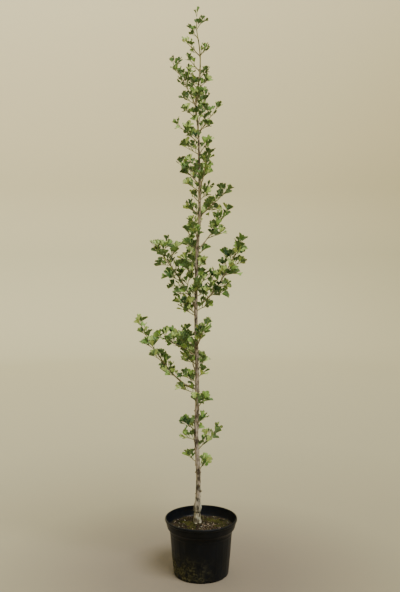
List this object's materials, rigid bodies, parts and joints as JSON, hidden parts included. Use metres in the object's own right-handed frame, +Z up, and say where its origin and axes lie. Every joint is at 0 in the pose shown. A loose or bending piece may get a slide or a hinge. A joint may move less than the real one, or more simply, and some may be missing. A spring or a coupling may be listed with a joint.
{
  "type": "potted ginkgo tree",
  "caption": "Slender young ginkgo tree with one upright trunk, short upswept boughs and rosettes of fan-shaped leaves, standing in a round black nursery pot.",
  "frame": {"origin": "middle of the pot's flat underside", "axes": "+Z up along the trunk, -Y towards the picture's camera, +X to its right"},
  "size_m": [0.4252, 0.3362, 2.1935],
  "materials": {
    "pot_plastic": "black moulded plastic, satin, with a thin film of algae near its foot",
    "potting_soil": "moist dark bark and peat mix with moss",
    "trunk_bark": "grey-brown young bark, finely furrowed",
    "bough_bark": "pale grey-brown shoot bark with knobbed spurs",
    "leaf_green": "leaves in fresh to deep green, satin"
  },
  "bodies": {
    "root": {"bough_big_left": "bough_bark", "bough_big_right": "bough_bark", "bough_high_front": "bough_bark", "bough_high_right": "bough_bark", "bough_low_back": "bough_bark", "bough_low_left": "bough_bark", "bough_mid_back": "bough_bark", "bough_mid_left": "bough_bark", "bough_right_shoulder": "bough_bark", "bough_upper_back": "bough_bark", "bough_upper_left": "bough_bark", "foliage_big_left": "leaf_green", "foliage_big_right": "leaf_green", "foliage_high_front": "leaf_green", "foliage_high_right": "leaf_green", "foliage_leader": "leaf_green", "foliage_low_back": "leaf_green", "foliage_low_left": "leaf_green", "foliage_mid_back": "leaf_green", "foliage_mid_left": "leaf_green", "foliage_right_shoulder": "leaf_green", "foliage_spur_01": "leaf_green", "foliage_spur_02": "leaf_green", "foliage_spur_03": "leaf_green", "foliage_spur_04": "leaf_green", "foliage_spur_05": "leaf_green", "foliage_spur_06": "leaf_green", "foliage_spur_07": "leaf_green", "foliage_spur_08": "leaf_green", "foliage_spur_09": "leaf_green", "foliage_spur_10": "leaf_green", "foliage_spur_11": "leaf_green", "foliage_spur_12": "leaf_green", "foliage_spur_13": "leaf_green", "foliage_spur_14": "leaf_green", "foliage_spur_15": "leaf_green", "foliage_spur_16": "leaf_green", "foliage_spur_17": "leaf_green", "foliage_spur_18": "leaf_green", "foliage_spur_19": "leaf_green", "foliage_spur_20": "leaf_green", "foliage_spur_21": "leaf_green", "foliage_spur_22": "leaf_green", "foliage_spur_23": "leaf_green", "foliage_spur_24": "leaf_green", "foliage_spur_25": "leaf_green", "foliage_spur_26": "leaf_green", "foliage_spur_27": "leaf_green", "foliage_spur_28": "leaf_green", "foliage_spur_29": "leaf_green", "foliage_spur_30": "leaf_green", "foliage_twig_01": "leaf_green", "foliage_twig_02": "leaf_green", "foliage_twig_03": "leaf_green", "foliage_twig_04": "leaf_green", "foliage_upper_back": "leaf_green", "foliage_upper_left": "leaf_green", "pot": "pot_plastic", "soil": "potting_soil", "trunk": "trunk_bark"}
  },
  "joints": []
}
